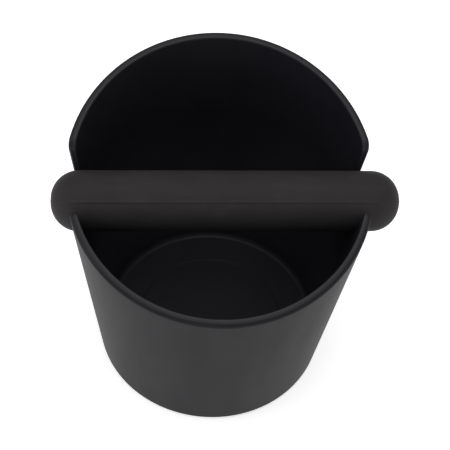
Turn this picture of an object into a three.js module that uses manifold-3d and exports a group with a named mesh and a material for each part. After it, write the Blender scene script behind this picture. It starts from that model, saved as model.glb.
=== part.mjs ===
// Espresso knock box: a tapered plastic bucket with a high back and a low front, standing on a
// rubber pad, and a rubber-covered knock bar that lies loose in a notch on each side.
// Millimetres, +Z up, +X along the bar, +Y towards the high back. The origin is the middle of
// the pad's underside, on the surface that the box stands on.

import * as THREE from 'three';
import { mergeVertices } from 'three/addons/utils/BufferGeometryUtils.js';
import Module from 'manifold-3d';

const wasm = await Module();
wasm.setup();

// Gap between faces that touch on the real box.
const touchGap = 0.3;

// Bucket. Heights are counted from the foot of its wall.
const footRadius = 60.5;
const wallSlope = 0.111;          // radius gained for each millimetre of height
const wallThickness = 4;
const footRounding = 1.2;
const floorTop = 4.8;
const floorFillet = 3;            // between floor and wall
const floorDishMargin = 17.6;     // from the wall to the shallow round dish in the floor
const floorDishDepth = 0.5;
const floorDishBevel = 0.8;

// Rim and notches.
const barHeight = 108.2;          // the bar's axis above the bucket's foot
const hornRise = 11.6;            // the rim just in front of the notch, above the bar's axis
const frontDrop = 11.7;           // from there down to the front of the rim
const shoulderRise = 23.1;        // the rim just behind the notch, above the bar's axis
const backRise = 16.7;            // from there up to the back of the rim
const hornRounding = 3;
const shoulderRounding = 5;
const notchClearance = 0.4;       // around the bar, between it and the notch

// Base pad.
const footRingWidth = 8;          // the bucket's foot, outside the pad
const padDrop = 1;                // how far the pad stands below the foot
const padRecessDepth = 1.2;
const padEdgeBevel = 0.5;
const grooveInsets = [21, 10];    // from the pad's edge to the middle of each ring groove
const grooveWidth = 2.4;
const grooveDepth = 0.5;

// Knock bar.
const barRadius = 14.85;
const barOverhang = 12.4;         // past the outside of the wall at each end, when centred
const barShift = 3.3;             // where it lies along +X
const barTipFlat = 1;             // radius of the flat tip that the domed end leaves
const rubberEndThickness = 14.4;  // from the core to the tip
const mouldPinRadius = 2;         // hole that a mould pin leaves in each end of the rubber
const coreRadius = 8;
const coreWall = 1.5;
const plugHeadThickness = 2;
const plugStemLength = 10;
const plugStemBevel = 0.8;
const plugDimpleDepth = 0.8;      // seat of the mould pin

// How finely round surfaces are divided.
const bucketSides = 80;
const padSides = 56;
const barSides = 48;
const coreSides = 32;
const quarterSteps = 8;           // steps in a quarter circle

const outerRadius = (height) => footRadius + wallSlope * height;
const innerRadius = (height) => outerRadius(height) - wallThickness;
const hornHeight = barHeight + hornRise;
const frontRimHeight = hornHeight - frontDrop;
const shoulderHeight = barHeight + shoulderRise;
const backRimHeight = shoulderHeight + backRise;
const notchHalfWidth = barRadius + notchClearance;
const padRadius = footRadius - footRingWidth - touchGap;
const barHalfLength = outerRadius(barHeight) + barOverhang;
const boreHalfLength = barHalfLength - rubberEndThickness;
const coreHalfLength = boreHalfLength - plugHeadThickness - 2 * touchGap;

// Points of a round stretch, from one angle to the other in degrees.
function arc(centreX, centreY, radius, fromDegrees, toDegrees, steps = quarterSteps) {
  return Array.from({ length: steps + 1 }, (_, step) => {
    const angle = THREE.MathUtils.degToRad(fromDegrees + (toDegrees - fromDegrees) * (step / steps));
    return [centreX + radius * Math.cos(angle), centreY + radius * Math.sin(angle)];
  });
}

// A solid of revolution about its local Y axis from an outline of [radius, height] points.
function turned(outline, sides) {
  return new THREE.LatheGeometry(outline.map(([r, y]) => new THREE.Vector2(r, y)), sides);
}

function toSolid(geometry) {
  const bare = geometry.clone();
  bare.deleteAttribute('normal');
  bare.deleteAttribute('uv');
  const merged = mergeVertices(bare, 1e-4);
  return new wasm.Manifold(new wasm.Mesh({
    numProp: 3,
    vertProperties: merged.attributes.position.array,
    triVerts: new Uint32Array(merged.index.array),
  }));
}

function toGeometry(solid) {
  const cut = solid.getMesh();
  const geometry = new THREE.BufferGeometry();
  geometry.setAttribute('position', new THREE.BufferAttribute(cut.vertProperties, 3));
  geometry.setIndex(new THREE.BufferAttribute(cut.triVerts, 1));
  geometry.computeVertexNormals();
  return geometry;
}

// Turned wall and floor, before the rim is cut. The wall runs up past the highest point.
function bucketBlank() {
  const blankHeight = Math.max(backRimHeight, shoulderHeight, hornHeight, frontRimHeight) + wallThickness;
  const recessRadius = padRadius + touchGap;
  const dishRadius = innerRadius(floorTop) - floorDishMargin;
  const filletHeight = floorTop + floorFillet;
  const filletMiddle = innerRadius(filletHeight) - floorFillet;
  const outline = [
    [0, padRecessDepth],
    [recessRadius, padRecessDepth],
    [recessRadius, 0],
    ...arc(footRadius - footRounding, footRounding, footRounding, -90, 0),
    [outerRadius(blankHeight), blankHeight],
    [innerRadius(blankHeight), blankHeight],
    ...arc(filletMiddle, filletHeight, floorFillet, 0, -90),
    [dishRadius, floorTop],
    [dishRadius - floorDishBevel, floorTop - floorDishDepth],
    [0, floorTop - floorDishDepth],
  ];
  const blank = turned(outline, bucketSides);
  return blank.rotateX(Math.PI / 2);
}

// Everything above the rim, seen along the bar: a straight slope in front of the notch, the
// U-shaped notch that the bar drops into, and a steeper slope up to the back.
function rimCutter() {
  const frontY = -outerRadius(frontRimHeight);
  const backY = outerRadius(backRimHeight);
  const frontSlope = (hornHeight - frontRimHeight) / (-notchHalfWidth - frontY);
  const backSlope = (backRimHeight - shoulderHeight) / (backY - notchHalfWidth);
  const reach = 2 * backY;
  const frontRim = (y) => frontRimHeight + frontSlope * (y - frontY);
  const backRim = (y) => backRimHeight + backSlope * (y - backY);

  const outline = new THREE.Shape();
  outline.moveTo(-reach, frontRim(-reach));
  outline.lineTo(-notchHalfWidth - hornRounding, frontRim(-notchHalfWidth - hornRounding));
  outline.quadraticCurveTo(-notchHalfWidth, hornHeight, -notchHalfWidth, hornHeight - hornRounding);
  outline.lineTo(-notchHalfWidth, barHeight);
  outline.absarc(0, barHeight, notchHalfWidth, Math.PI, 2 * Math.PI, false);
  outline.lineTo(notchHalfWidth, shoulderHeight - shoulderRounding);
  outline.quadraticCurveTo(
    notchHalfWidth, shoulderHeight,
    notchHalfWidth + shoulderRounding, backRim(notchHalfWidth + shoulderRounding),
  );
  outline.lineTo(reach, backRim(reach));
  outline.lineTo(reach, 2 * backRimHeight);
  outline.lineTo(-reach, 2 * backRimHeight);

  const cutter = new THREE.ExtrudeGeometry(outline, {
    depth: 2 * reach,
    bevelEnabled: false,
    curveSegments: quarterSteps * 2,
  });
  cutter.translate(0, 0, -reach);
  // The outline's own axes become Y and Z, and its depth runs along X.
  const basis = new THREE.Matrix4().makeBasis(
    new THREE.Vector3(0, 1, 0),
    new THREE.Vector3(0, 0, 1),
    new THREE.Vector3(1, 0, 0),
  );
  return cutter.applyMatrix4(basis);
}

function makeBucket() {
  const material = new THREE.MeshStandardMaterial({ color: 0x1d1d1e, roughness: 0.55, metalness: 0 });
  const solid = toSolid(bucketBlank()).subtract(toSolid(rimCutter()));
  const bucket = new THREE.Mesh(toGeometry(solid), material);
  bucket.name = 'bucket';
  bucket.position.z = padDrop;
  return bucket;
}

// Round rubber disc glued in the recess under the floor, with ring grooves in its underside.
function makeBasePad() {
  const material = new THREE.MeshStandardMaterial({ color: 0x1c1c1d, roughness: 0.9, metalness: 0 });
  const thickness = padDrop + padRecessDepth - touchGap;
  const grooves = grooveInsets.flatMap((inset) => {
    const innerEdge = padRadius - inset - grooveWidth / 2;
    const outerEdge = innerEdge + grooveWidth;
    return [[innerEdge, 0], [innerEdge, grooveDepth], [outerEdge, grooveDepth], [outerEdge, 0]];
  });
  const outline = [
    [0, 0],
    ...grooves,
    [padRadius - padEdgeBevel, 0],
    [padRadius, padEdgeBevel],
    [padRadius, thickness],
    [0, thickness],
  ];
  const pad = new THREE.Mesh(turned(outline, padSides), material);
  pad.name = 'base_pad';
  pad.rotation.x = Math.PI / 2;
  return pad;
}

// Rubber moulded all round the core, with domed ends.
function makeBarSleeve() {
  const material = new THREE.MeshStandardMaterial({ color: 0x312f2f, roughness: 0.75, metalness: 0 });
  const boreRadius = coreRadius + touchGap;
  const domeRadius = barRadius - barTipFlat;
  const domeMiddle = barHalfLength - domeRadius;
  const pinAngle = THREE.MathUtils.radToDeg(Math.acos((mouldPinRadius - barTipFlat) / domeRadius));
  const outline = [
    ...arc(barTipFlat, -domeMiddle, domeRadius, -pinAngle, 0),
    ...arc(barTipFlat, domeMiddle, domeRadius, 0, pinAngle),
    [mouldPinRadius, boreHalfLength],
    [boreRadius, boreHalfLength],
    [boreRadius, -boreHalfLength],
    [mouldPinRadius, -boreHalfLength],
  ];
  const closed = [...outline, outline[0]];
  const sleeve = new THREE.Mesh(turned(closed, barSides), material);
  sleeve.name = 'bar_sleeve';
  sleeve.rotation.z = -Math.PI / 2;
  return sleeve;
}

// Steel tube that stiffens the bar.
function makeCoreTube() {
  const material = new THREE.MeshStandardMaterial({ color: 0x9a9c9e, roughness: 0.35, metalness: 1 });
  const boreRadius = coreRadius - coreWall;
  const outline = [
    [boreRadius, -coreHalfLength],
    [coreRadius, -coreHalfLength],
    [coreRadius, coreHalfLength],
    [boreRadius, coreHalfLength],
    [boreRadius, -coreHalfLength],
  ];
  const tube = new THREE.Mesh(turned(outline, coreSides), material);
  tube.name = 'core_tube';
  tube.rotation.z = -Math.PI / 2;
  return tube;
}

// Plug that keeps the rubber out of the tube while it is moulded. side is -1 or 1 along X.
function makeCorePlug(name, side) {
  const material = new THREE.MeshStandardMaterial({ color: 0x4a4a4c, roughness: 0.6, metalness: 0 });
  const stemRadius = coreRadius - coreWall - touchGap;
  const outline = [
    [0, -plugStemLength],
    [stemRadius - plugStemBevel, -plugStemLength],
    [stemRadius, plugStemBevel - plugStemLength],
    [stemRadius, 0],
    [coreRadius, 0],
    [coreRadius, plugHeadThickness],
    [mouldPinRadius, plugHeadThickness],
    [mouldPinRadius, plugHeadThickness - plugDimpleDepth],
    [0, plugHeadThickness - plugDimpleDepth],
  ];
  const plug = new THREE.Mesh(turned(outline, coreSides), material);
  plug.name = name;
  plug.rotation.z = -side * Math.PI / 2;
  plug.position.x = side * (coreHalfLength + touchGap);
  return plug;
}

const knockBar = new THREE.Group();
knockBar.position.set(barShift, 0, padDrop + barHeight);
knockBar.add(
  makeBarSleeve(),
  makeCoreTube(),
  makeCorePlug('core_plug_left', -1),
  makeCorePlug('core_plug_right', 1),
);

const group = new THREE.Group();
group.add(makeBucket(), makeBasePad(), knockBar);

export default group;
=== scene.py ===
import math

import bmesh
import bpy
from mathutils import Matrix, Vector


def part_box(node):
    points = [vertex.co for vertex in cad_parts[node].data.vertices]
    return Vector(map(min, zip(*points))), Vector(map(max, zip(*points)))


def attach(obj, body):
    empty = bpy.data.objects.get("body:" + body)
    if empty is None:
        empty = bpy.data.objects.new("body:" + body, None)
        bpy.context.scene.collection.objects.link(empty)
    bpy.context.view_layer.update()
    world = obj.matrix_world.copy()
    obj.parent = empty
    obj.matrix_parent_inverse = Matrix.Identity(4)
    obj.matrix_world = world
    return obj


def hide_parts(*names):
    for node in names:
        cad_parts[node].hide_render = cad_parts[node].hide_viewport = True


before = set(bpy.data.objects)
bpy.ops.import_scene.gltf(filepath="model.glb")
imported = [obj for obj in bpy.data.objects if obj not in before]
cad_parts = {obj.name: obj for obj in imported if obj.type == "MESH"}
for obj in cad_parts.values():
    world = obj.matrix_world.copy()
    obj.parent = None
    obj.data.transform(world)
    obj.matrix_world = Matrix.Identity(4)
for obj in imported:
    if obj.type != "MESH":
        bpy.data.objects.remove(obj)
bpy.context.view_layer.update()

bucketLow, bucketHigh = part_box("bucket")
sleeveLow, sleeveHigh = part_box("bar_sleeve")
padLow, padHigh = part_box("base_pad")
footHeight = bucketLow.z
barAxis = (sleeveLow + sleeveHigh) / 2
barRadius = (sleeveHigh.z - sleeveLow.z) / 2

near = 1e-5                    # two places closer than this count as the same
square = 0.9                   # a face looks along an axis if its normal has more of it than this
manyCorners = 8                # a face with more corners than this is a disc or a long strip


# small helpers for building pieces

def deselectAll():
    if bpy.context.mode != "OBJECT":
        bpy.ops.object.mode_set(mode="OBJECT")
    bpy.ops.object.select_all(action="DESELECT")


def startPiece(name):      # names the primitive just added and opens it in edit mode
    piece = bpy.context.object
    piece.name = name
    piece.data.name = name
    bpy.ops.object.transform_apply(location=True, rotation=True, scale=True)
    bpy.ops.object.mode_set(mode="EDIT")
    return piece


def pick(kind, wanted):    # selects the vertices, edges or faces that pass a test, by their middle
    bpy.ops.mesh.select_mode(type=kind)
    bpy.ops.mesh.select_all(action="DESELECT")
    mesh = bmesh.from_edit_mesh(bpy.context.edit_object.data)
    items = {"VERT": mesh.verts, "EDGE": mesh.edges, "FACE": mesh.faces}[kind]
    for item in items:
        if kind == "VERT":
            middle = item.co
        elif kind == "EDGE":
            middle = (item.verts[0].co + item.verts[1].co) / 2
        else:
            middle = item.calc_center_median()
        if wanted(middle, item):
            item.select_set(True)
    mesh.select_flush_mode()
    bmesh.update_edit_mesh(bpy.context.edit_object.data)


def stretch(factor, centre=(0.0, 0.0, 0.0), axes=(1, 1, 0)):   # scales along the marked axes
    value = [factor if marked else 1.0 for marked in axes]
    bpy.ops.transform.resize(value=value, center_override=centre)


def extrudeBy(x=0.0, y=0.0, z=0.0):
    bpy.ops.mesh.extrude_region_move(TRANSFORM_OT_translate={"value": (x, y, z)})


def roundEdges(width, steps):  # bevels the selected edges
    bpy.ops.mesh.bevel(offset=width, segments=steps, affect="EDGES")


def choose(piece):
    deselectAll()
    piece.select_set(True)
    bpy.context.view_layer.objects.active = piece


def applyModifier(piece, kind, **settings):
    modifier = piece.modifiers.new(kind.title(), kind)
    for name, value in settings.items():
        setattr(modifier, name, value)
    choose(piece)
    bpy.ops.object.modifier_apply(modifier=modifier.name)


def smooth(piece, degrees):
    choose(piece)
    bpy.ops.object.shade_smooth_by_angle(angle=math.radians(degrees))


# finishes: a Wire is a socket that can be added to, scaled and so on

class Wire:
    def __init__(self, finish, socket):
        self.finish = finish
        self.socket = socket

    def maths(self, operation, first, second):
        return self.finish.node("ShaderNodeMath", {"operation": operation}, {0: first, 1: second})

    def __add__(self, other):
        return self.maths("ADD", self, other)

    def __sub__(self, other):
        return self.maths("SUBTRACT", self, other)

    def __rsub__(self, other):
        return self.maths("SUBTRACT", other, self)

    def __mul__(self, other):
        return self.maths("MULTIPLY", self, other)

    __radd__ = __add__
    __rmul__ = __mul__


class Finish:
    def __init__(self, name, **constants):     # constants go straight onto the shader's own sockets
        self.material = bpy.data.materials.new(name)
        self.material.use_nodes = True
        self.tree = self.material.node_tree
        self.shader = self.tree.nodes["Principled BSDF"]
        for socket, value in constants.items():
            self.shader.inputs[socket.replace("_", " ")].default_value = value
        self.place = self.node("ShaderNodeTexCoord", output="Object")

    def node(self, kind, settings=None, values=None, output=0):
        made = self.tree.nodes.new(kind)
        for name, value in (settings or {}).items():
            if name == "stops":
                ramp = made.color_ramp
                for (position, level), stop in zip(value, (ramp.elements[0], ramp.elements[1])):
                    stop.position = position
                    stop.color = (level, level, level, 1)
            else:
                setattr(made, name, value)
        for key, value in (values or {}).items():
            self.feed(made.inputs[key], value)
        return Wire(self, made.outputs[output])

    def feed(self, socket, value):
        if isinstance(value, Wire):
            self.tree.links.new(value.socket, socket)
        else:
            socket.default_value = value

    def stretched(self, x, y, z):              # object coordinates, scaled unevenly
        return self.node("ShaderNodeMapping", None, {"Vector": self.place, "Scale": (x, y, z)})

    def noise(self, scale, detail=3.0, roughness=0.5, place=None):
        return self.node("ShaderNodeTexNoise", None, {
            "Vector": place or self.place, "Scale": scale, "Detail": detail, "Roughness": roughness})

    def streaks(self, scales, detail):         # noise drawn out along the axis with the smallest scale
        return self.noise(1.0, detail, place=self.stretched(*scales))

    def attribute(self, name):
        return self.node("ShaderNodeAttribute", {"attribute_name": name}, output="Fac")

    def ramp(self, low, high, factor):         # 0 below low, 1 above high
        return self.node("ShaderNodeValToRGB", {"stops": ((low, 0.0), (high, 1.0))}, {"Fac": factor})

    def blend(self, factor, first, second):    # two colours, on the mix node's colour sockets 6 and 7
        return self.node("ShaderNodeMix", {"data_type": "RGBA"}, {0: factor, 6: first, 7: second}, output=2)

    def bump(self, height, distance):
        return self.node("ShaderNodeBump", None, {"Height": height, "Distance": distance})

    def surfaceLayer(self, **links):                   # what changes over the surface
        for socket, value in links.items():
            self.feed(self.shader.inputs[socket.replace("_", " ")], value)
        return self.material


# bucket: one moulding with a high back, a low front and a notch on each side

bucketShape = {
    "footRadius": 0.0605,
    "wall": 0.0040,
    "sides": 240,
    "footRounding": 0.0012,
    "footSteps": 5,
    "floorTop": 0.0048,        # above the foot
    "floorFillet": 0.003,
    "floorSteps": 8,
    "dishRadius": 0.0394,
    "dishDepth": 0.0005,
    "dishSlope": 0.0009,
    "recessRadius": 0.0525,
    "recessDepth": 0.0012,
    "hornRise": 0.0116,        # rim just in front of the notch, above the bar's axis
    "frontDrop": 0.0117,
    "shoulderRise": 0.0231,    # rim just behind the notch
    "notchClearance": 0.0004,
    "notchSteps": 48,
    "hornRounding": 0.003,
    "shoulderRounding": 0.005,
    "cornerSteps": 10,
    "outerRounding": 0.0020,   # of the rim, towards the outside
    "outerSteps": 6,
    "innerRounding": 0.0007,
    "innerSteps": 4,
    "rimBand": 0.25,           # share of the wall's thickness in which an edge counts as outer or inner
    "clearWallDepth": 0.006,   # below the notches, where the wall's upright edges start again
    "keptUprights": (3, 12),   # counted from the bar's line
    "spareHeight": 0.01,       # of the blank above the finished rim
    "cutterSeed": 0.001,       # plane that shrinks to the cutter's first vertex
    "cutterReach": 0.12,
    "cutterTop": 0.25,
    "cutTilt": 0.001,          # a face left by the cutter has less X than this in its normal
    "smoothAngle": 26,
    "rimHighlightFall": 2.5,           # how fast the painted highlight on the rim fades towards the outside
}


def bucketRadius(height):      # outside of the wall at a height in the frame
    slope = (bucketHigh.y - bucketShape["footRadius"]) / (bucketHigh.z - footHeight)
    return bucketShape["footRadius"] + slope * (height - footHeight)


def makeRimCutter():
    shape = bucketShape
    half = barRadius + shape["notchClearance"]
    hornTop = barAxis.z + shape["hornRise"]
    frontTop = hornTop - shape["frontDrop"]
    shoulderTop = barAxis.z + shape["shoulderRise"]
    frontY = -bucketRadius(frontTop)
    backY = bucketRadius(bucketHigh.z)
    frontSlope = (hornTop - frontTop) / (-half - frontY)
    backSlope = (bucketHigh.z - shoulderTop) / (backY - half)
    reach = shape["cutterReach"]
    top = shape["cutterTop"]
    start = (-reach, -reach, frontTop + frontSlope * (-reach - frontY))

    # the vertex walks round the outline, and spins round the bottom of the notch
    deselectAll()
    bpy.ops.mesh.primitive_plane_add(size=shape["cutterSeed"], location=start)
    cutter = startPiece("rimCutter")
    bpy.ops.mesh.select_mode(type="VERT")
    bpy.ops.mesh.select_all(action="SELECT")
    bpy.ops.mesh.merge(type="CENTER")
    extrudeBy(y=reach - half, z=frontSlope * (reach - half))
    extrudeBy(z=barAxis.z - hornTop)
    bpy.ops.mesh.spin(
        steps=shape["notchSteps"], angle=math.pi, center=(-reach, 0.0, barAxis.z), axis=(-1, 0, 0))
    extrudeBy(z=shoulderTop - barAxis.z)
    extrudeBy(y=reach - half, z=backSlope * (reach - half))
    extrudeBy(z=top - shoulderTop - backSlope * (reach - half))
    extrudeBy(y=-2 * reach)
    bpy.ops.mesh.select_all(action="SELECT")
    bpy.ops.mesh.edge_face_add()
    extrudeBy(x=2 * reach)
    bpy.ops.mesh.select_all(action="SELECT")
    bpy.ops.mesh.remove_doubles(threshold=near / 10)
    bpy.ops.mesh.normals_make_consistent(inside=False)
    horn = (-half, hornTop, shape["hornRounding"])
    shoulder = (half, shoulderTop, shape["shoulderRounding"])
    for y, z, rounding in (horn, shoulder):
        pick("EDGE", lambda middle, edge: abs(middle.y - y) < near and abs(middle.z - z) < near)
        roundEdges(rounding, shape["cornerSteps"])
    deselectAll()
    return cutter


def roundRim():
    # Upright edges of the wall beside a notch would cross the rounding. Above a level ring
    # they are taken out, and they are cut in again when the rim is round.
    shape = bucketShape
    pitch = 360 / shape["sides"]
    ring = barAxis.z - barRadius - shape["clearWallDepth"]

    def turnFromBar(middle):
        return math.degrees(math.atan2(abs(middle.y), abs(middle.x)))

    def isCut(face):           # the cutter runs along X, so its faces never face that way
        return abs(face.normal.x) < shape["cutTilt"]

    bpy.ops.mesh.select_all(action="SELECT")
    bpy.ops.mesh.bisect(plane_co=(0, 0, ring), plane_no=(0, 0, 1))
    kept = [pitch * number for number in shape["keptUprights"]]
    pick("EDGE", lambda middle, edge: (
        middle.z > ring + near and turnFromBar(middle) < kept[-1] - pitch / 2
        and min(abs(turnFromBar(middle) - turn) for turn in kept) > pitch / 2
        and not any(isCut(face) for face in edge.link_faces)))
    bpy.ops.mesh.dissolve_edges(use_verts=True)

    def onRimEdge(middle, edge, outside):
        cuts = sum(isCut(face) for face in edge.link_faces)
        depth = bucketRadius(middle.z) - middle.xy.length
        share = depth / shape["wall"] if outside else 1 - depth / shape["wall"]
        return middle.z > ring and cuts == 1 and share < shape["rimBand"]

    outer = (True, shape["outerRounding"], shape["outerSteps"])
    inner = (False, shape["innerRounding"], shape["innerSteps"])
    for outside, rounding, steps in (outer, inner):
        pick("EDGE", lambda middle, edge: onRimEdge(middle, edge, outside))
        bpy.ops.mesh.bevel(offset=rounding, segments=steps, affect="EDGES", clamp_overlap=False)

    pick("FACE", lambda middle, face: (
        middle.z > ring and turnFromBar(middle) < kept[-1]
        and len(face.verts) > manyCorners and not isCut(face)))
    bpy.ops.mesh.hide(unselected=True)
    lastUpright = shape["keptUprights"][-1]
    for number in range(1 - lastUpright, lastUpright):
        turn = math.radians(pitch * number)
        bpy.ops.mesh.select_all(action="SELECT")
        bpy.ops.mesh.bisect(plane_co=(0, 0, ring), plane_no=(-math.sin(turn), math.cos(turn), 0))
    bpy.ops.mesh.reveal(select=False)


def makeBucket():
    shape = bucketShape
    blankTop = bucketHigh.z + shape["spareHeight"]
    floorHeight = footHeight + shape["floorTop"]
    deselectAll()
    bpy.ops.mesh.primitive_cylinder_add(
        vertices=shape["sides"], radius=shape["footRadius"], depth=blankTop - footHeight,
        location=(0, 0, (blankTop + footHeight) / 2))
    bucket = startPiece("bucket_shell")
    pick("VERT", lambda middle, vertex: middle.z > floorHeight)
    stretch(bucketRadius(blankTop) / shape["footRadius"])

    # hollow it: a rim as wide as the wall, then down to the floor
    pick("FACE", lambda middle, face: face.normal.z > square)
    bpy.ops.mesh.inset(thickness=shape["wall"], use_even_offset=True)
    extrudeBy(z=floorHeight - blankTop)
    stretch((bucketRadius(floorHeight) - shape["wall"]) / (bucketRadius(blankTop) - shape["wall"]))
    pick("EDGE", lambda middle, edge: abs(middle.z - floorHeight) < near)
    roundEdges(shape["floorFillet"], shape["floorSteps"])

    # shallow round dish in the floor
    flatRadius = bucketRadius(floorHeight) - shape["wall"] - shape["floorFillet"]
    pick("FACE", lambda middle, face: (
        face.normal.z > square and middle.z < floorHeight + near and len(face.verts) > manyCorners))
    bpy.ops.mesh.inset(thickness=flatRadius - shape["dishRadius"])
    bpy.ops.mesh.inset(thickness=shape["dishSlope"], depth=-shape["dishDepth"])

    # foot ring and the recess that holds the pad
    pick("FACE", lambda middle, face: face.normal.z < -square)
    bpy.ops.mesh.inset(thickness=shape["footRadius"] - shape["recessRadius"])
    extrudeBy(z=shape["recessDepth"])
    pick("EDGE", lambda middle, edge: (
        abs(middle.z - footHeight) < near
        and middle.xy.length > shape["footRadius"] - shape["footRounding"]))
    roundEdges(shape["footRounding"], shape["footSteps"])

    # rim and notches
    cutter = makeRimCutter()
    applyModifier(bucket, "BOOLEAN", operation="DIFFERENCE", object=cutter, solver="EXACT")
    bpy.data.objects.remove(cutter)

    bpy.ops.object.mode_set(mode="EDIT")
    bpy.ops.mesh.select_all(action="SELECT")
    bpy.ops.mesh.remove_doubles(threshold=near / 5)
    roundRim()
    deselectAll()
    smooth(bucket, shape["smoothAngle"])
    applyModifier(bucket, "WEIGHTED_NORMAL", keep_sharp=True)
    return bucket


bucketFinish = {
    "shade": (0.0124, 0.0124, 0.0140, 1),
    "paleShade": (0.0200, 0.0200, 0.0222, 1),  # where hands and cloths have dulled it
    "gloss": 0.086,
    "glossShade": (0.955, 0.965, 1.0, 1),      # the moulding grain scatters a slightly cool light
    "grainSize": 0.00035,
    "grainHeight": 0.00002,
    "grainPaleness": 0.4,
    "cloudScale": 38.0,
    "rubbedBand": (0.45, 0.75),                # of the clouds, from untouched to rubbed
    "rubbedPaleness": 0.6,
    "flowScales": (60.0, 60.0, 9.0),           # of the plastic's flow up the mould
    "roughness": 0.50,
    "flowRoughness": 0.12,
    "grainRoughness": 0.08,
    "rimHighlightShade": (0.0345, 0.0345, 0.0360, 1),  # painted highlight along the rim's inner edge
    "rimHighlightStrength": 0.7,
    "rimHighlightPatchiness": 0.5,
    "wallFacing": 0.7,                         # a face that looks outwards more than this is grained
    "underFacing": 0.5,                        # and one that looks down more than this
}

insideFinish = {
    "shade": (0.0110, 0.0107, 0.0142, 1),
    "paleShade": (0.0165, 0.0162, 0.0200, 1),
    "gloss": 0.15,
    "grainHeight": 0.000008,
    "swirlScale": 24.0,
    "rubbedBand": (0.4, 0.75),
    "rubbedPaleness": 0.6,
    "scuffScales": (420.0, 420.0, 55.0),       # scuffs run up and down the wall
    "scuffBand": (0.60, 0.74),
    "scuffPaleness": 0.4,
    "paintedLightShade": (0.0380, 0.0365, 0.0450, 1),  # painted light: paler paint low on the inside wall, where it lies in shade
    "paintedLightHeights": (0.03, 0.10),               # it fades out between these
    "paintedLightStart": (0.006, 0.010),               # and stops short of the floor
    "paintedLightStrength": 0.6,
    "paintedLightPatchiness": 0.6,
    "roughness": 0.42,
    "swirlRoughness": 0.16,
    "scuffRoughness": 0.10,
    "lowWallRoughness": 0.25,
}


def markRimHighlight(bucket):       # painted highlight mask: 1 on the inner edge of the rim, fading to 0 across the rim and on the walls
    shape = bucketShape
    surfaceLayer = bucket.data.attributes.new("paintedRimHighlight", "FLOAT", "POINT")
    for vertex, mark in zip(bucket.data.vertices, surfaceLayer.data):
        depth = vertex.co.xy.length - bucketRadius(vertex.co.z) + shape["wall"]
        towardsInside = min(depth / shape["innerRounding"], 1.0)
        towardsOutside = (shape["wall"] - depth) / (shape["wall"] - shape["innerRounding"])
        onRim = vertex.co.z > barAxis.z - barRadius - shape["clearWallDepth"] / 2
        mark.value = max(min(towardsInside, towardsOutside), 0.0) ** shape["rimHighlightFall"] if onRim else 0.0


def paintRimHighlight(finish, patches, plain):          # lays the rim's painted highlight over a finish
    look = bucketFinish
    edge = finish.attribute("paintedRimHighlight") * (look["rimHighlightStrength"] + patches * look["rimHighlightPatchiness"])
    return finish.blend(edge, plain, look["rimHighlightShade"])


def outsidePlastic():
    look = bucketFinish
    finish = Finish("bucketOutside", Specular_IOR_Level=look["gloss"], Specular_Tint=look["glossShade"])
    grain = finish.noise(1 / look["grainSize"], detail=2.0)
    clouds = finish.noise(look["cloudScale"], detail=4.0, roughness=0.6)
    rubbed = finish.ramp(*look["rubbedBand"], clouds)
    flow = finish.streaks(look["flowScales"], detail=3.0)
    paleness = rubbed * look["rubbedPaleness"] + grain * look["grainPaleness"]
    plain = finish.blend(paleness, look["shade"], look["paleShade"])
    unevenness = (flow - 0.5) * look["flowRoughness"] + (grain - 0.5) * look["grainRoughness"]
    return finish.surfaceLayer(
        Base_Color=paintRimHighlight(finish, clouds, plain),
        Roughness=look["roughness"] + unevenness,
        Normal=finish.bump(grain, look["grainHeight"]))


def insidePlastic():
    look = insideFinish
    finish = Finish("bucketInside", Specular_IOR_Level=look["gloss"])
    grain = finish.noise(1 / bucketFinish["grainSize"], detail=2.0)
    swirl = finish.noise(look["swirlScale"], detail=5.0, roughness=0.65)
    rubbed = finish.ramp(*look["rubbedBand"], swirl)
    scuffs = finish.ramp(*look["scuffBand"], finish.streaks(look["scuffScales"], detail=6.0))
    paleness = rubbed * look["rubbedPaleness"] + scuffs * look["scuffPaleness"]
    plain = finish.blend(paleness, look["shade"], look["paleShade"])
    height = finish.node("ShaderNodeSeparateXYZ", None, {"Vector": finish.place}, output="Z")
    # painted light: a paler band low on the inside wall lifts the shade there
    lowWallBand = (1 - finish.ramp(*look["paintedLightHeights"], height)) * finish.ramp(*look["paintedLightStart"], height)
    paintedLight = lowWallBand * (look["paintedLightStrength"] + swirl * look["paintedLightPatchiness"])
    withPaintedLight = finish.blend(paintedLight, plain, look["paintedLightShade"])
    unevenness = (swirl - 0.5) * look["swirlRoughness"] + scuffs * look["scuffRoughness"]
    return finish.surfaceLayer(
        Base_Color=paintRimHighlight(finish, swirl, withPaintedLight),
        Roughness=look["roughness"] + unevenness + lowWallBand * look["lowWallRoughness"],
        Normal=finish.bump(grain, look["grainHeight"]))


def paintBucket(bucket):
    bucket.data.materials.append(outsidePlastic())
    bucket.data.materials.append(insidePlastic())
    for face in bucket.data.polygons:
        outward = Vector((face.center.x, face.center.y, 0))
        looksOut = face.normal.dot(outward.normalized()) > bucketFinish["wallFacing"]
        isWall = looksOut and outward.length > bucketShape["recessRadius"]
        isUnder = face.normal.z < -bucketFinish["underFacing"]
        face.material_index = 0 if isWall or isUnder else 1


bucket = makeBucket()
markRimHighlight(bucket)
paintBucket(bucket)
print("bucket built:", len(bucket.data.polygons), "faces")
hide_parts("bucket")
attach(bucket, "bucket_body")


# base pad: a rubber disc with two ring grooves, held in the recess under the bucket

padShape = {
    "sides": 160,
    "edgeRounding": 0.0005,
    "edgeSteps": 4,
    "grooveRadii": (0.0422, 0.0312),
    "grooveWidth": 0.0024,
    "grooveDepth": 0.0005,
    "smoothAngle": 35,
}


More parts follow.
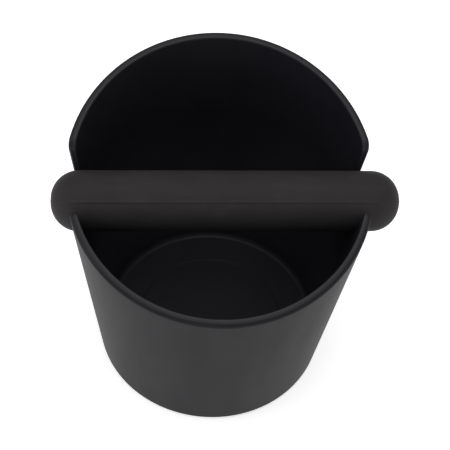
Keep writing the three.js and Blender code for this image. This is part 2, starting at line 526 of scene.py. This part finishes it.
def makePad():
    shape = padShape
    radius = padHigh.x
    deselectAll()
    bpy.ops.mesh.primitive_cylinder_add(
        vertices=shape["sides"], radius=radius, depth=padHigh.z - padLow.z,
        location=(0, 0, (padHigh.z + padLow.z) / 2))
    pad = startPiece("base_pad_rubber")
    pick("FACE", lambda middle, face: face.normal.z < -square)
    edge = radius
    for grooveRadius in shape["grooveRadii"]:
        bpy.ops.mesh.inset(thickness=edge - grooveRadius - shape["grooveWidth"] / 2)
        bpy.ops.mesh.inset(thickness=shape["grooveWidth"])
        edge = grooveRadius - shape["grooveWidth"] / 2
    for grooveRadius in shape["grooveRadii"]:
        pick("FACE", lambda middle, face: (
            middle.z < padLow.z + near and abs(middle.xy.length - grooveRadius) < shape["grooveWidth"] / 4))
        extrudeBy(z=shape["grooveDepth"])
    pick("EDGE", lambda middle, edge: (
        middle.z < padLow.z + near and middle.xy.length > radius - shape["edgeRounding"]))
    roundEdges(shape["edgeRounding"], shape["edgeSteps"])
    smooth(pad, shape["smoothAngle"])
    return pad


padFinish = {
    "shade": (0.020, 0.020, 0.020, 1),
    "dustShade": (0.060, 0.057, 0.053, 1),
    "gloss": 0.35,
    "speckleScale": 1500.0,
    "speckleHeight": 0.00004,
    "specklePaleness": 0.15,
    "dustScale": 90.0,
    "dustBand": (0.5, 0.8),
    "dustPaleness": 0.5,
    "roughness": 0.72,
    "dustRoughness": 0.18,
}


def padRubber():
    look = padFinish
    finish = Finish("padRubber", Specular_IOR_Level=look["gloss"])
    speckle = finish.noise(look["speckleScale"], detail=3.0)
    dust = finish.ramp(*look["dustBand"], finish.noise(look["dustScale"], detail=5.0, roughness=0.65))
    paleness = dust * look["dustPaleness"] + speckle * look["specklePaleness"]
    return finish.surfaceLayer(
        Base_Color=finish.blend(paleness, look["shade"], look["dustShade"]),
        Roughness=look["roughness"] + dust * look["dustRoughness"],
        Normal=finish.bump(speckle, look["speckleHeight"]))


pad = makePad()
pad.data.materials.append(padRubber())
print("base pad built:", len(pad.data.polygons), "faces")
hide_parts("base_pad")
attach(pad, "bucket_body")


# knock bar: rubber moulded over the core, with domed ends

sleeveShape = {
    "sides": 132,
    "tipFlat": 0.001,          # flat left at the tip by the rounding of the end
    "tipSag": 0.0001,          # how far the edge of the pin hole lies behind the very tip
    "domeSteps": 16,
    "pinRadius": 0.002,        # hole of the mould pin in each end
    "pinRounding": 0.0004,
    "pinSteps": 3,
    "endThickness": 0.0144,
    "boreRadius": 0.0083,
    "seamTurn": 49.1,          # degrees up from the front, where the mould parted
    "seamBand": 0.45,          # of a side: how far off that line an edge may lie
    "seamStart": 0.0028,       # from the axis, just outside the pin hole
    "seamWidth": 0.00050,
    "seamHeight": 0.00028,
    "smoothAngle": 35,
}


def makeSleeve():
    shape = sleeveShape
    half = (sleeveHigh.x - sleeveLow.x) / 2
    rounding = barRadius - shape["tipFlat"]
    turn = 360 / shape["sides"]
    deselectAll()
    bpy.ops.mesh.primitive_cylinder_add(
        vertices=shape["sides"], radius=barRadius, depth=2 * half,
        location=barAxis, rotation=(0, math.pi / 2, 0))
    sleeve = startPiece("bar_rubber_sleeve")

    def fromAxis(co):
        return math.hypot(co.y - barAxis.y, co.z - barAxis.z)

    def fromMiddle(co):
        return abs(co.x - barAxis.x)

    # domed ends
    pick("EDGE", lambda middle, edge: fromMiddle(middle) > half - near)
    bpy.ops.mesh.bevel(offset=rounding, segments=shape["domeSteps"], affect="EDGES", clamp_overlap=False)

    # a pin hole in each end, the bore for the core behind it, and both bores joined in the middle
    firstRing = shape["tipFlat"] + rounding * math.sin(math.pi / 2 / shape["domeSteps"])
    tipStart = half - shape["pinRadius"]
    pick("FACE", lambda middle, face: fromAxis(middle) < firstRing and fromMiddle(middle) > tipStart)
    bpy.ops.mesh.dissolve_faces()
    for side in (-1, 1):
        tip = (barAxis.x + side * half, barAxis.y, barAxis.z)
        pick("FACE", lambda middle, face: (
            fromAxis(middle) < near and (middle.x - barAxis.x) * side > tipStart))
        stretch(shape["pinRadius"] / firstRing, centre=tip, axes=(0, 1, 1))
        extrudeBy(x=-side * (shape["endThickness"] - shape["tipSag"]))
        extrudeBy()
        stretch(shape["boreRadius"] / shape["pinRadius"], centre=tip, axes=(0, 1, 1))
        extrudeBy(x=-side * (half - shape["endThickness"]))
        bpy.ops.mesh.delete(type="ONLY_FACE")
    pick("EDGE", lambda middle, edge: edge.is_boundary)
    bpy.ops.mesh.bridge_edge_loops()
    pick("EDGE", lambda middle, edge: (
        fromMiddle(middle) > tipStart and abs(fromAxis(middle) - shape["pinRadius"]) < near))
    roundEdges(shape["pinRounding"], shape["pinSteps"])

    # the fine ridge where the two halves of the mould met, all the way round through both tips
    def onSeam(middle, edge):
        along = abs(edge.verts[0].co.x - edge.verts[1].co.x) > near
        degreesUp = math.degrees(math.atan2(middle.z - barAxis.z, -(middle.y - barAxis.y)))
        offLine = abs((degreesUp - shape["seamTurn"] + 90) % 180 - 90)
        pastBore = fromMiddle(middle) > half - shape["endThickness"]
        outside = fromAxis(middle) > shape["boreRadius"] + near or pastBore
        return (
            along and outside and offLine < turn * shape["seamBand"]
            and fromAxis(middle) > shape["seamStart"])

    pick("EDGE", onSeam)
    roundEdges(shape["seamWidth"] / 2, 2)
    pick("EDGE", onSeam)
    bpy.ops.transform.shrink_fatten(value=shape["seamHeight"])
    smooth(sleeve, shape["smoothAngle"])
    return sleeve


sleeveFinish = {
    "shade": (0.0225, 0.0205, 0.0208, 1),
    "paleShade": (0.0390, 0.0355, 0.0360, 1),
    "gloss": 0.20,
    "grainSize": 0.0006,
    "grainHeight": 0.00003,
    "grainPaleness": 0.15,
    "fineSize": 0.0002,        # a finer grain over the first
    "fineShare": 0.5,
    "cloudScale": 55.0,
    "cloudBand": (0.35, 0.8),
    "cloudPaleness": 0.45,
    "scuffScales": (70.0, 260.0, 260.0),       # scuffs run along the bar
    "scuffBand": (0.52, 0.72),
    "scuffPaleness": 0.25,
    "roughness": 0.72,
    "cloudRoughness": 0.2,
    "grainRoughness": 0.1,
}


def sleeveRubber():
    look = sleeveFinish
    finish = Finish("sleeveRubber", Specular_IOR_Level=look["gloss"])
    grain = finish.noise(1 / look["grainSize"], detail=3.0, roughness=0.6)
    fine = finish.noise(1 / look["fineSize"], detail=2.0)
    clouds = finish.noise(look["cloudScale"], detail=5.0, roughness=0.62)
    dulled = finish.ramp(*look["cloudBand"], clouds)
    scuffs = finish.ramp(*look["scuffBand"], finish.streaks(look["scuffScales"], detail=5.0))
    marks = dulled * look["cloudPaleness"] + scuffs * look["scuffPaleness"]
    unevenness = (clouds - 0.5) * look["cloudRoughness"] + (grain - 0.5) * look["grainRoughness"]
    return finish.surfaceLayer(
        Base_Color=finish.blend(marks + grain * look["grainPaleness"], look["shade"], look["paleShade"]),
        Roughness=look["roughness"] + unevenness,
        Normal=finish.bump(grain + fine * look["fineShare"], look["grainHeight"]))


sleeve = makeSleeve()
sleeve.data.materials.append(sleeveRubber())
print("sleeve built:", len(sleeve.data.polygons), "faces")
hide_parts("bar_sleeve")
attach(sleeve, "bar_rubber")


# core of the bar: the modelled tube and plugs keep their shape and get a finish

coreFinish = {
    "steelShade": (0.56, 0.56, 0.57, 1),
    "stainShade": (0.36, 0.34, 0.32, 1),
    "stainScale": 60.0,
    "stainBand": (0.5, 0.8),
    "stainCover": 0.5,
    "drawnScales": (14.0, 1600.0, 1600.0),     # lines left by drawing the tube
    "drawnHeight": 0.00001,
    "steelRoughness": 0.28,
    "drawnRoughness": 0.18,
    "stainRoughness": 0.12,
    "plugShade": (0.085, 0.085, 0.09, 1),
    "plugPaleShade": (0.11, 0.11, 0.115, 1),
    "plugCloudScale": 150.0,
    "plugGrainScale": 2600.0,
    "plugGrainHeight": 0.00001,
    "plugRoughness": 0.45,
    "plugGrainRoughness": 0.15,
}


def tubeSteel():
    look = coreFinish
    finish = Finish("tubeSteel", Metallic=1.0)
    drawn = finish.streaks(look["drawnScales"], detail=4.0)
    stain = finish.ramp(*look["stainBand"], finish.noise(look["stainScale"], detail=4.0))
    unevenness = drawn * look["drawnRoughness"] + stain * look["stainRoughness"]
    return finish.surfaceLayer(
        Base_Color=finish.blend(stain * look["stainCover"], look["steelShade"], look["stainShade"]),
        Roughness=look["steelRoughness"] + unevenness,
        Normal=finish.bump(drawn, look["drawnHeight"]))


def plugPlastic():
    look = coreFinish
    finish = Finish("plugPlastic")
    grain = finish.noise(look["plugGrainScale"], detail=2.0)
    clouds = finish.noise(look["plugCloudScale"], detail=3.0)
    return finish.surfaceLayer(
        Base_Color=finish.blend(clouds, look["plugShade"], look["plugPaleShade"]),
        Roughness=look["plugRoughness"] + grain * look["plugGrainRoughness"],
        Normal=finish.bump(grain, look["plugGrainHeight"]))


def repaint(nodeName, material):
    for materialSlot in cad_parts[nodeName].material_slots:
        materialSlot.material = material


repaint("core_tube", tubeSteel())
plugMaterial = plugPlastic()
for plugName in ("core_plug_left", "core_plug_right"):
    repaint(plugName, plugMaterial)
print("core finished")


# camera

cameraSet = {
    "azimuth": -6.35,          # degrees, 0 looks along +Y
    "elevation": 52.62,
    "roll": 5.02,
    "distance": 0.601,
    "lookAt": (0.0038, 0.0, 0.0898),
    "lens": 96.11,             # millimetres, on the sensor below
    "sensorWidth": 36.0,
    "clipStart": 0.01,
}


def makeCamera():
    azimuth = math.radians(cameraSet["azimuth"])
    elevation = math.radians(cameraSet["elevation"])
    roll = math.radians(cameraSet["roll"])
    back = Vector((
        math.sin(azimuth) * math.cos(elevation),
        -math.cos(azimuth) * math.cos(elevation),
        math.sin(elevation)))
    right = Vector((math.cos(azimuth), math.sin(azimuth), 0))
    up = back.cross(right)
    turnedRight = right * math.cos(roll) + up * math.sin(roll)
    turnedUp = up * math.cos(roll) - right * math.sin(roll)
    place = Vector(cameraSet["lookAt"]) + back * cameraSet["distance"]
    deselectAll()
    bpy.ops.object.camera_add()
    camera = bpy.context.object
    turn = Matrix((turnedRight, turnedUp, back)).transposed().to_4x4()
    camera.matrix_world = Matrix.Translation(place) @ turn
    camera.data.sensor_width = cameraSet["sensorWidth"]
    camera.data.lens = cameraSet["lens"]
    camera.data.clip_start = cameraSet["clipStart"]
    bpy.context.scene.camera = camera


makeCamera()
print("camera placed")


# floor and light: a glowing white floor under a large soft lamp, so that there is hardly any shadow

studioSet = {
    "floorSize": 24.0,
    "floorShade": (0.9, 0.9, 0.9, 1),
    "floorRoughness": 0.7,
    "floorGlow": 0.60,
    "airShade": (1, 1, 1, 1),
    "airStrength": 0.36,
    "aim": (0.0, 0.0, 0.07),
    "lamps": {                 # place, size and power
        "overhead": ((0.0, 0.0, 1.4), 1.2, 8.4),
        "left": ((-1.2, -0.1, 0.7), 0.8, 3.7),
        "right": ((1.1, 0.0, 0.9), 0.8, 1.1),
    },
}


def makeFloor():
    deselectAll()
    bpy.ops.mesh.primitive_plane_add(size=studioSet["floorSize"], location=(0, 0, 0))
    floor = bpy.context.object
    floor.name = "studio_floor"
    paint = Finish(
        "floorPaint", Base_Color=studioSet["floorShade"], Roughness=studioSet["floorRoughness"],
        Emission_Color=studioSet["airShade"], Emission_Strength=studioSet["floorGlow"])
    floor.data.materials.append(paint.material)


def makeLamps():
    for name, (place, size, power) in studioSet["lamps"].items():
        deselectAll()
        bpy.ops.object.light_add(type="AREA", location=place)
        lamp = bpy.context.object
        lamp.name = name + "_lamp"
        lamp.data.size = size
        lamp.data.energy = power
        aim = Vector(studioSet["aim"]) - Vector(place)
        lamp.rotation_euler = aim.to_track_quat("-Z", "Y").to_euler()


def makeAir():
    air = bpy.data.worlds.new("studioAir")
    air.use_nodes = True
    background = air.node_tree.nodes["Background"]
    background.inputs["Color"].default_value = studioSet["airShade"]
    background.inputs["Strength"].default_value = studioSet["airStrength"]
    bpy.context.scene.world = air


makeFloor()
makeLamps()
makeAir()
bpy.context.scene.view_settings.view_transform = "Standard"
print("studio set")
